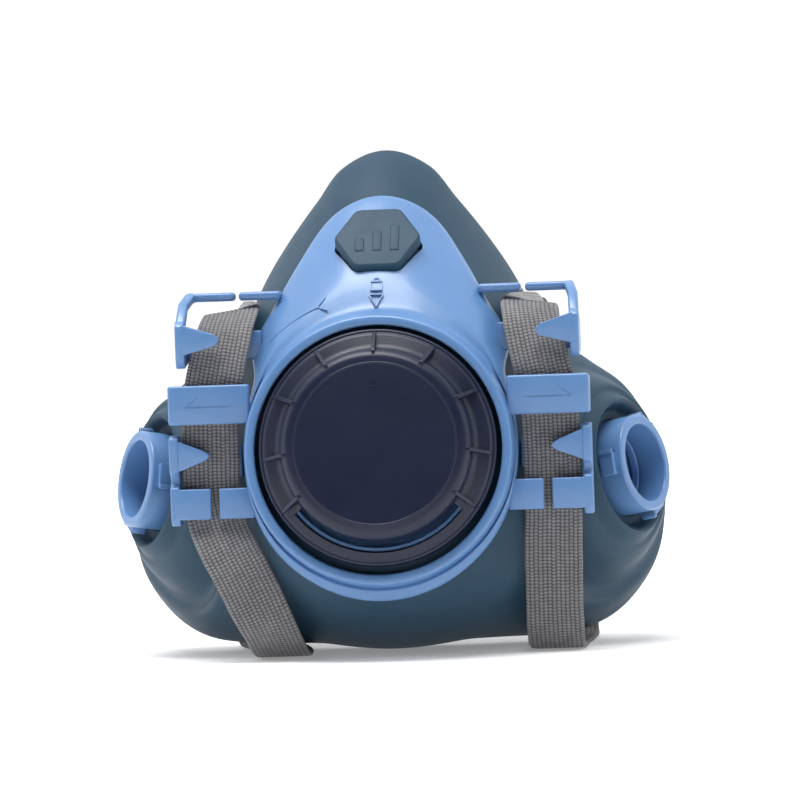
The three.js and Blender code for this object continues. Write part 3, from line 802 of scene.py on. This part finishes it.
# %% [markdown]
# ## Size badge
# The badge is a hexagon of the same rubber as the facepiece that shows through the window of the
# yoke. It carries three raised bars of growing height as a plain size mark. A slab with a wide soft
# edge gives the slightly swollen look of rubber pushed through a window.

# %% Badge
badge = slab_mesh(hexagon(23.4, 1.6), 0, 3.5, BADGE, bevel=0.8, segments=5)
marks = []
for i in (-1, 0, 1):
    x, tall = i * 4.6, 4.6 + (i + 1) * 2.2
    bar = [(x - 1.2, -5), (x + 1.2, -5), (x + 1.2, -5 + tall), (x - 1.2, -5 + tall)]
    marks.append(slab_mesh(bar, 3.0, 3.75, BADGE, bevel=0.28))
merge("size_badge_rubber", [badge, *marks], "facepiece_rubber", "mask", ["size_badge"], 45)
print("badge done")

# %% [markdown]
# ## Exhalation valve
# The seat is a light-blue ring with spokes and a centre pin; the flap is a thin silicone disc on the
# pin; the cover is a dark drum with thin ribs and a slot at its foot that lets the breath out. All
# three are turned pieces, so one outline each is enough, and the ribs and the slot are added after.

# %% Valve seat
seat_outline = [
    (21.5, -4.4), (25, -4.4), (25, -9.9), (30, -9.9), (30, -8.4), (27.6, -8.4), (27.6, 0.5), (30.6, 0.5),
    (30.6, 2.4), (27.3, 2.4), (27.1, 4.9), (26.2, 4.9), (25.9, 2.4), (25.5, 0.7), (24, 0), (21.5, 0),
]
seat_ring = loose_mesh("seat_ring", *turned_points(rounded(seat_outline, 0.25, steps=3), VALVE))
clean(seat_ring)


def turned_place(place, degrees):
    origin, axes = place
    cosine, sine = math.cos(degrees * RAD), math.sin(degrees * RAD)
    right = cosine * axes[0] + sine * axes[1]
    up = cosine * axes[1] - sine * axes[0]
    return origin, np.array([right, up, axes[2]])


seat_parts = [seat_ring]
for degrees in (0, 60, 120):
    spoke = [(-22.3, -0.9), (22.3, -0.9), (22.3, 0.9), (-22.3, 0.9)]
    seat_parts.append(slab_mesh(spoke, -3.6, -1.4, turned_place(VALVE, degrees), bevel=0.25))
seat_parts += [
    rod_mesh(4, -3.6, -0.4, VALVE, 48, 0.3),
    rod_mesh(1.7, -1, 3.6, VALVE, 32),
    rod_mesh(3.4, 3.3, 4.4, VALVE, 48, 0.35),
]
merge("valve_seat_body", seat_parts, "yoke_plastic", "mask", ["valve_seat"], 40)
print("valve seat pieces:", len(seat_parts))

# %% [markdown]
# The flap is a thin disc held by the pin in its middle. It rides on its own body, because it
# lifts when the wearer breathes out.

# %% Exhalation flap
FLAP_OUTLINE = [(2.1, 0.4), (22.9, 0.4), (22.9, 0.75), (21.4, 1.1), (5, 1.0), (3.8, 1.15), (2.1, 1.15)]
turned("exhale_disc", FLAP_OUTLINE, VALVE, "flap_silicone", "exhale_valve", ["exhale_flap"], 0.12)
print("flap radius", max(r for r, _ in FLAP_OUTLINE))

# %% [markdown]
# The cover keeps dirt off the flap. Its drum is one turned outline and its slot a curved slab
# cut away; the ribs that give a grip are set round it. It rides on the body that turns.

# %% Exhalation cover
CAP_OUTLINE = [
    (29.4, 2.9), (31, 2.9), (31, 4.7), (30.5, 5.25), (29.9, 5.2), (29.4, 5.8), (26.1, 7.0, 0.8),
    (24.95, 8.2, 1.0), (24.8, 11.6, 1.6), (23.4, 13.1, 1.6), (21.3, 13.4), (21.2, 13.55, 0.1),
    (20.9, 13.55, 0.1), (20.8, 13.38, 0.1), (0, 13.3, 0), (0, 11.3, 0), (22.2, 11.3), (23.1, 10.4),
    (23.2, 3.4), (24.7, 3.4), (24.7, 5.9), (28.4, 5.5), (28.9, 4.8),
]
cap = turned("exhalation_cover", CAP_OUTLINE, VALVE, "cap_plastic", "cover", ["valve_cap"], 0.35, 192)
slot_angles = np.radians(np.linspace(128, 232, 60))
slot = np.concatenate([
    np.stack([25.0 * np.sin(slot_angles), 25.0 * np.cos(slot_angles)], axis=1),
    np.stack([27.7 * np.sin(slot_angles[::-1]), 27.7 * np.cos(slot_angles[::-1])], axis=1),
])
cut(cap, slab_mesh(slot, 1, 15, VALVE, bevel=0))
rib_side = [(24.0, 5.4), (30.2, 5.0), (30.0, 6.3, 0.5), (25.6, 11.8, 1.0), (24.4, 13.1, 0.7), (23.4, 13.0)]
ribs = []
for degrees in (0, 31, 62, 95, 123, -31, -62, -95, -123):
    origin, axes = VALVE
    out = axes[0] * math.sin(degrees * RAD) + axes[1] * math.cos(degrees * RAD)
    place = (origin, np.array([out, axes[2], np.cross(out, axes[2])]))
    ribs.append(slab_mesh(rounded(rib_side, 0.3), -0.5, 0.5, place, bevel=0.3))
pointer = slab_mesh([(-1.5, 15.0), (1.5, 15.0), (0, 17.4)], 13.1, 13.6, VALVE, bevel=0.12)
merge("exhalation_cover_ribs", [*ribs, pointer], "cap_plastic", "cover", ["valve_cap"], 40)
cap.data.set_sharp_from_angle(angle=45 * RAD)
print("valve done")

# %% [markdown]
# ## Filter necks
# Each cheek carries a short neck that a filter cartridge pushes over and turns to lock. It has a
# thick rounded mouth and three lugs with a stop wall. Behind it sit a lock ring, a spoked seat and a
# silicone flap that opens inwards. They are turned pieces with bevelled lugs.

# %% Necks, rings, seats and flaps
NECK_R = 12.9
NECK_OUTLINE = [
    (10.3, -19), (15.2, -19), (15.2, -17.6), (NECK_R, -17.6), (NECK_R, -0.4, 0.5), (NECK_R - 0.5, 0, 0.5),
    (10.6, 0, 0.5), (10.3, -0.4, 0.5),
]


def ring_mesh(outline, place, radius=0.2, segments=96):
    ring = loose_mesh("ring", *turned_points(rounded(outline, radius), place, segments))
    clean(ring)
    return ring


def lug_meshes(side, place):
    """A lug seen end on: a bevelled block with a taller stop wall along one edge."""
    blocks = []
    for degrees in (125, 5, 245):
        turn_by = 180 - degrees if side == "right" else degrees
        axes = turned_place(place, turn_by)[1]
        lug_place = (place[0], np.array([axes[1], axes[2], np.cross(axes[1], axes[2])]))
        lug = [(-3.4, -6), (3.4, -6), (3.4, -1.8), (-3.4, -1.8)]
        stop = [(-3.4, -6), (-2.2, -6), (-2.2, -1.8), (-3.4, -1.8)]
        blocks.append(slab_mesh(lug, NECK_R - 0.5, NECK_R + 1.5, lug_place, 0.3))
        blocks.append(slab_mesh(stop, NECK_R - 0.5, NECK_R + 2.0, lug_place, 0.3))
    return blocks


for side in ("left", "right"):
    place = NECK[side]
    neck_parts = [ring_mesh(NECK_OUTLINE, place, 0.25, 128), *lug_meshes(side, place)]
    merge("filter_neck_" + side, neck_parts, "yoke_plastic", "mask", ["connector_" + side], 40)
    lock = [(9, -9.8), (9.95, -9.8), (9.95, -8), (9.3, -7.7), (9, -8)]
    lock_ring = [ring_mesh(lock, place)]
    merge("lock_ring_body_" + side, lock_ring, "yoke_plastic", "mask", ["lock_ring_" + side], 40)
    seat_parts = [ring_mesh([(8, -13), (9.95, -13), (9.95, -10.6), (8, -10.6)], place)]
    for degrees in (0, 90):
        spoke = [(-8.6, -0.6), (8.6, -0.6), (8.6, 0.6), (-8.6, 0.6)]
        seat_parts.append(slab_mesh(spoke, -12.8, -11, turned_place(place, degrees), 0.2))
    seat_parts += [
        rod_mesh(1.6, -13, -10.8, place, 24, 0.2),
        rod_mesh(0.9, -16.2, -12.9, place, 24),
        rod_mesh(1.8, -17, -15.9, place, 24, 0.3),
    ]
    merge("inhale_seat_body_" + side, seat_parts, "yoke_plastic", "mask", ["inhale_seat_" + side], 40)
    disc = [(1.25, -13.95), (9.4, -13.95), (9.4, -13.5), (1.25, -13.35)]
    merge("inhale_disc_" + side, [ring_mesh(disc, place, 0.1)], "flap_silicone",
          "inhale_valve_" + side, ["inhale_flap_" + side], 40)
print("filter necks done")

# %% [markdown]
# ## Webbing
# The harness is elastic webbing: bands of yarn run along it and a thin weft crosses them about every
# millimetre, leaving small gaps where it is stretched. A picture of a weave would look flat at
# the edges, so the weave is real relief: a dense grid follows the strap, each crossing is a small
# bump, and a value stored on every point tells the finish how deep in the weave it lies. The finish
# paints shade from that depth: the deeper a point lies, the darker its colour, so the gaps and the
# hollows between the yarns carry painted shade.

# %% Webbing finish
def webbing():
    material, tree, shader = node_material("strap_webbing")
    height = tree.nodes.new("ShaderNodeAttribute")
    height.attribute_name = "weave_depth_shade"
    # painted shade: the colour runs from near black deep in the weave to light grey on the yarn crests
    stops = [(0.0, (0.012, 0.012, 0.014)), (0.45, (0.092, 0.092, 0.096)), (1.0, (0.27, 0.268, 0.275))]
    yarn_and_shade = ramp_node(tree, height.outputs["Fac"], stops)
    mix = tree.nodes.new("ShaderNodeMix")
    mix.data_type, mix.blend_type = "RGBA", "MULTIPLY"
    mix.inputs["Factor"].default_value = 1.0
    tree.links.new(yarn_and_shade, mix.inputs["A"])
    uneven = ramp_node(tree, noise_node(tree, 420, 3.0), [(0.25, (0.72, 0.72, 0.74)), (0.75, (1, 1, 1))])
    tree.links.new(uneven, mix.inputs["B"])
    tree.links.new(mix.outputs["Result"], shader.inputs["Base Color"])
    tree.links.new(bump_node(tree, noise_node(tree, 6000, 2.0), 0.05 * MM), shader.inputs["Normal"])
    shader.inputs["Roughness"].default_value = 0.88
    shader.inputs["Specular IOR Level"].default_value = 0.22
    shader.inputs["Sheen Weight"].default_value = 0.25
    shader.inputs["Sheen Roughness"].default_value = 0.6
    return material


FINISH["strap_webbing"] = webbing()
print("webbing finish ready")

# %% [markdown]
# The strap's course is a row of points with the direction of its width at each. It starts at the
# neck clip, passes under the chin, climbs through the guides, folds back over the top bar, runs
# along the flank and ends in the head cradle. A smooth curve through the points keeps the bends
# round, and the strap is then cut into steps of equal length so the weave keeps its size.

# %% Course of the straps
STRAP = {"width": 15.2, "thick": 1.5}
SHIFT = VALVE[0] - np.array([0, -38.0, 55.0])
ROUTE = np.array([
    [14.8, 53, 9, 0, 0, 1], [26, 52.4, 9, 0, 0, 1], [37.5, 48, 8.7, 0.1, 0, 1],
    [44, 39, 4.9, 0.75, 0, 0.7], [45.5, 29, 1.4, 1, 0, 0.04], [45, 18, 0.85, 1, 0, 0],
    [44.4, 4, 0.85, 1, 0, 0], [44, -12, 0.85, 1, 0, 0], [43.8, -21, 2.6, 1, 0, 0],
    [43.8, -27, 10, 1, 0, 0], [44.1, -30, 23, 1, 0, 0], [44.3, -30.8, 30, 1, 0, 0],
    [44.6, -31.4, 36.5, 1, 0, 0], [44.7, -31.5, 44, 1, 0, 0], [44.7, -31.5, 56, 1, 0, 0],
    [44.2, -31.6, 68, 1, 0, 0], [42.4, -31.4, 77, 1, 0, -0.06], [40.4, -27.6, 86.5, 1, 0, -0.1],
    [39.4, -19.5, 91.2, 1, 0, -0.1], [40.2, -8, 90.8, 0.9, 0, -0.44], [42.2, 6, 88.8, 0.66, 0, -0.75],
    [43.3, 21, 87.7, 0.55, 0, -0.84], [42.6, 36, 84, 0.44, 0, -0.9], [40.4, 47.5, 76.4, 0.16, 0, -0.98],
    [39, 56.5, 71.6, 0.02, 0, -1], [38.6, 65.6, 71.2, 0, 0, -1],
])
LEFT_DRIFT = [0, 0, 0, -2, -8, -11.5, -14, -15.2, -15, -12.6, -7.2, -3.8, -1.3]
LEFT_FORWARD = [0, 0, 0, 0, 0, 0, 0, -1, -4, -7, -6.2, -4.3, -1.3]


def route_of(side):
    route = ROUTE.copy()
    if side == "left":
        route[: len(LEFT_DRIFT), 0] += LEFT_DRIFT
        route[: len(LEFT_FORWARD), 1] += LEFT_FORWARD
        route[:, [0, 3]] *= -1
    route[:, :3] += SHIFT
    return route


def smooth_course(points, steps):
    """Points on a curve through the given ones, with the bends spread by their distance."""
    n = len(points)
    before = 2 * points[0] - points[1]
    after = 2 * points[-1] - points[-2]
    padded = np.vstack([before, points, after])
    out = np.zeros((steps, points.shape[1]))
    for k in range(steps):
        place = (n - 1) * k / (steps - 1)
        i = min(int(place), n - 2)
        t = place - i
        p0, p1, p2, p3 = padded[i : i + 4]
        d0, d1, d2 = (max(np.sum((b - a) ** 2) ** 0.25, 1e-4) for a, b in ((p0, p1), (p1, p2), (p2, p3)))
        t1 = ((p1 - p0) / d0 - (p2 - p0) / (d0 + d1) + (p2 - p1) / d1) * d1
        t2 = ((p2 - p1) / d1 - (p3 - p1) / (d1 + d2) + (p3 - p2) / d2) * d1
        out[k] = p1 + t1 * t + (-3 * p1 + 3 * p2 - 2 * t1 - t2) * t**2 + (2 * p1 - 2 * p2 + t1 + t2) * t**3
    return out


def course_frames(route, spacing, width, thick):
    """Evenly spaced centres with the directions along, across and out of a band."""
    centre = smooth_course(route[:, :3], 1200)
    across = smooth_course(route[:, 3:], 1200)
    length = np.concatenate([[0], np.cumsum(np.linalg.norm(np.diff(centre, axis=0), axis=1))])
    count = int(length[-1] / spacing) + 1
    at = np.linspace(0, length[-1], count)
    centre = np.stack([np.interp(at, length, centre[:, k]) for k in range(3)], axis=1)
    across = np.stack([np.interp(at, length, across[:, k]) for k in range(3)], axis=1)
    along = np.gradient(centre, axis=0)
    along /= np.linalg.norm(along, axis=1)[:, None]
    across -= along * np.sum(across * along, axis=1)[:, None]
    across /= np.linalg.norm(across, axis=1)[:, None]
    out = np.cross(along, across)
    reach = (np.abs(across[:, 2]) * width + np.abs(out[:, 2]) * thick) / 2
    centre[:, 2] = np.maximum(centre[:, 2], reach)
    return centre, along, across, out, at


print("course points:", len(ROUTE))

# %% [markdown]
# Each strap is one grid swept along its course, with the yarns and wefts as relief on both faces.
# The printed length is measured along the middle of the strap.

# %% Woven straps
WEFT = 0.9
BANDS = 13


def strap_mesh(side):
    spacing = WEFT / 4
    centre, along, across, out, at = course_frames(route_of(side), spacing, STRAP["width"], STRAP["thick"])
    columns = 79
    u = np.linspace(-1, 1, columns)
    band_at = (u + 1) / 2 * BANDS
    band = np.minimum(band_at.astype(int), BANDS - 1)
    yarn_and_shade = 0.35 + 0.65 * np.sin(math.pi * (band_at - band)) ** 0.5
    drift = 0.14 * np.sin(2.4 * band)[None, :] + 0.07 * np.sin(at[:, None] / 2.7 + 1.3 * band[None, :])
    weft = np.abs(np.cos(math.pi * (at[:, None] / WEFT + drift))) ** 0.7
    relief = np.where(np.abs(u)[None, :] > 0.995, 0.5, yarn_and_shade[None, :] * (0.22 + 0.78 * weft))
    edge = np.sqrt(np.clip(1 - np.abs(u) ** 14, 0, 1))
    half = (STRAP["thick"] / 2 - 0.22) * edge[None, :] + 0.22 * relief * edge[None, :]
    ripple = 1 + 0.006 * np.sin(at / 3.1)[:, None] + 0.004 * np.sin(at / 1.27 + 1)[:, None]
    x = u[None, :] * STRAP["width"] / 2 * 0.985 * ripple
    rows, weave_depth_shade = [], []
    for sign, order in ((1, slice(None)), (-1, slice(None, None, -1))):
        face = centre[:, None] + x[..., None] * across[:, None] + sign * half[..., None] * out[:, None]
        inner = slice(0, columns - 1)
        rows.append(face[:, order][:, inner])
        weave_depth_shade.append(relief[:, order][:, inner])
    points = np.concatenate(rows, axis=1)
    values = np.concatenate(weave_depth_shade, axis=1)
    n, m = points.shape[:2]
    faces = grid_faces(n, m, False, True)
    faces += [tuple(reversed(range(m))), tuple(range((n - 1) * m, n * m))]
    strap = new_piece(
        "webbing_" + side, points.reshape(-1, 3), faces, "strap_webbing", "mask", ["strap_" + side], 70)
    # the depth of each point in the weave, which the finish turns into painted shade
    stored = strap.data.attributes.new("weave_depth_shade", "FLOAT", "POINT")
    stored.data.foreach_set("value", values.reshape(-1).astype(np.float32))
    return strap, at[-1]


LENGTH = {}
for side in ("left", "right"):
    strap, LENGTH[side] = strap_mesh(side)
    work = bmesh.new()
    work.from_mesh(strap.data)
    bmesh.ops.recalc_face_normals(work, faces=work.faces)
    work.to_mesh(strap.data)
    work.free()
print("strap lengths in mm:", {side: round(value) for side, value in LENGTH.items()})

# %% [markdown]
# ## Harness fittings
# A flat buckle rides on each upper strap, an open cradle sits on the crown of the head and a two
# part clip joins the lower straps behind the neck. All are satin charcoal plastic with soft edges.
# The band of the cradle follows the same kind of course as a strap.

# %% Sliders
def frame_at(route, row):
    """A place on a course: across, out and along the band."""
    fine = smooth_course(route, 2500)
    k = int(round(row / (len(route) - 1) * 2499))
    along = fine[k + 4, :3] - fine[k - 4, :3]
    along /= np.linalg.norm(along)
    across = fine[k, 3:] - along * (fine[k, 3:] @ along)
    across /= np.linalg.norm(across)
    return fine[k, :3], np.array([across, np.cross(along, across), along])


SLIDER_ROW = 22.25
for side in ("left", "right"):
    place = frame_at(route_of(side), SLIDER_ROW)
    outline = rounded([(-10, -3.2), (10, -3.2), (10, 3.2), (-10, 3.2)], 1.4, steps=6)
    slider = slab_mesh(outline, -4, 4, place, 0.7, 4)
    window = rounded([(-8.3, -1.7), (8.3, -1.7), (8.3, 1.7), (-8.3, 1.7)], 0.5)
    cut(slider, slab_mesh(window, -6, 6, place, bevel=0))
    centre, (across, out, along) = place
    grip_place = (centre, np.array([across, along, out]))
    grips = []
    for z in (-2, 0, 2):
        grip = [(-8.5, z - 0.5), (8.5, z - 0.5), (8.5, z + 0.5), (-8.5, z + 0.5)]
        grips.append(slab_mesh(grip, -3.25, -2.6, grip_place, 0.2))
    merge("slider_" + side, [slider, *grips], "fitting_plastic", "mask", ["strap_slider_" + side], 40)
print("sliders done")

# %% [markdown]
# The cradle is a flexible open frame on the crown of the head. Curved bands follow a gentle bow
# and straight bars join them.

# %% Head cradle
def cradle_depth(x):
    return 66 - 0.002 * x * x


def band_mesh(rows, width, thick, spacing=1.2, bevel=0.7):
    centre, along, across, out, _ = course_frames(np.asarray(rows, float), spacing, width, thick)
    corners = ((-1, -1), (1, -1), (1, 1), (-1, 1))
    edges = [centre + u * width / 2 * across + v * thick / 2 * out for u, v in corners]
    ring = np.stack(edges, axis=1)
    n = len(ring)
    faces = grid_faces(n, 4, False, True) + [(3, 2, 1, 0), tuple(4 * (n - 1) + k for k in range(4))]
    band = loose_mesh("band", ring.reshape(-1, 3), faces)
    clean(band, 0.0005)
    soften_edges(band, bevel, 60)
    return band


def cradle_row(x, z, wx, wz):
    return [*(SHIFT + [x, cradle_depth(x), z]), wx, 0, wz]


half = [(44, 0.1, 1, 0), (44.6, 30, 1, 0), (44.6, 60, 1, 0), (43.6, 76, 1, 0.2),
        (37, 88, 0.75, 0.65), (22, 95.5, 0.3, 0.95), (0, 97.5, 0, 1)]
hoop_rows = [cradle_row(*row) for row in half]
hoop_rows += [cradle_row(-x, z, -wx, wz) for x, z, wx, wz in reversed(half[:-1])]
parts = [band_mesh(hoop_rows, 5.2, 3)]
for z, reach, tall in ((6.5, 43.5, 9), (60, 43.5, 7), (83, 39, 5)):
    parts.append(band_mesh([cradle_row(k * reach, z, 0, 1) for k in (-1, -0.5, 0, 0.5, 1)], tall, 2.8, 3))
for x, wide, z0, z1 in ((-34.5, 4.5, 57, 84), (34.5, 4.5, 57, 84), (0, 10, 4, 96)):
    depth = cradle_depth(x)
    outline = [(x - wide / 2, z0), (x + wide / 2, z0), (x + wide / 2, z1), (x - wide / 2, z1)]
    place = (SHIFT + [0, depth, 0], FRONT[1])
    parts.append(slab_mesh(outline, -1.4, 1.4, place, 0.6))
merge("head_cradle_frame", parts, "fitting_plastic", "mask", ["head_cradle"], 40)
print("cradle pieces:", len(parts))

# %% [markdown]
# The clip has a socket and a plug with a tongue and two prongs. They are slabs with rounded
# edges, cut and joined, since both halves are flat mouldings.

# %% Neck clip
CLIP = (SHIFT + [0, 53, 0], FRONT[1])
shell = rounded([(-14, 0.1, 2), (0, 0.1, 0.6), (0, 18.1, 0.6), (-14, 18.1, 2)], 1.0, steps=6)
socket = slab_mesh(shell, -3, 3, CLIP, 0.7, 4)
cut(socket, slab_mesh([(-10.5, 2.6), (1, 2.6), (1, 16.2), (-10.5, 16.2)], -1.6, 1.6, CLIP, bevel=0))
for z in (0.1, 18.1):
    notch = [(-7.5, z - 1.5), (-3.2, z - 1.5), (-3.2, z + 1.5), (-7.5, z + 1.5)]
    cut(socket, slab_mesh(rounded(notch, 0.8), -4, 4, CLIP, bevel=0))
merge("clip_socket_body", [socket], "fitting_plastic", "mask", ["clip_socket"], 40)
grip = rounded([(0.4, 0.1, 0.6), (14, 0.1, 2), (14, 18.1, 2), (0.4, 18.1, 0.6)], 1.0, steps=6)
tongue = [(-9.6, 6.6), (1, 6.6), (1, 12.2), (-9.6, 12.2)]
plug = [slab_mesh(grip, -3, 3, CLIP, 0.7, 4), slab_mesh(tongue, -1.2, 1.2, CLIP, 0.3)]
for z in (3.2, 13.4):
    prong = rounded([(-9.0, z), (1, z), (1, z + 2.2), (-9.0, z + 2.2)], 0.6)
    plug.append(slab_mesh(prong, -1.2, 1.2, CLIP, 0.3))
for x in (4, 6.5, 9):
    plug.append(slab_mesh([(x, 3), (x + 1, 3), (x + 1, 15.2), (x, 15.2)], 2.6, 3.3, CLIP, 0.25))
merge("clip_plug_body", plug, "fitting_plastic", "mask", ["clip_plug"], 40)
print("clip done")

# %% [markdown]
# ## Pieces
# The last step counts the finished pieces.

# %% Count the pieces
print("pieces:", len(PIECES))
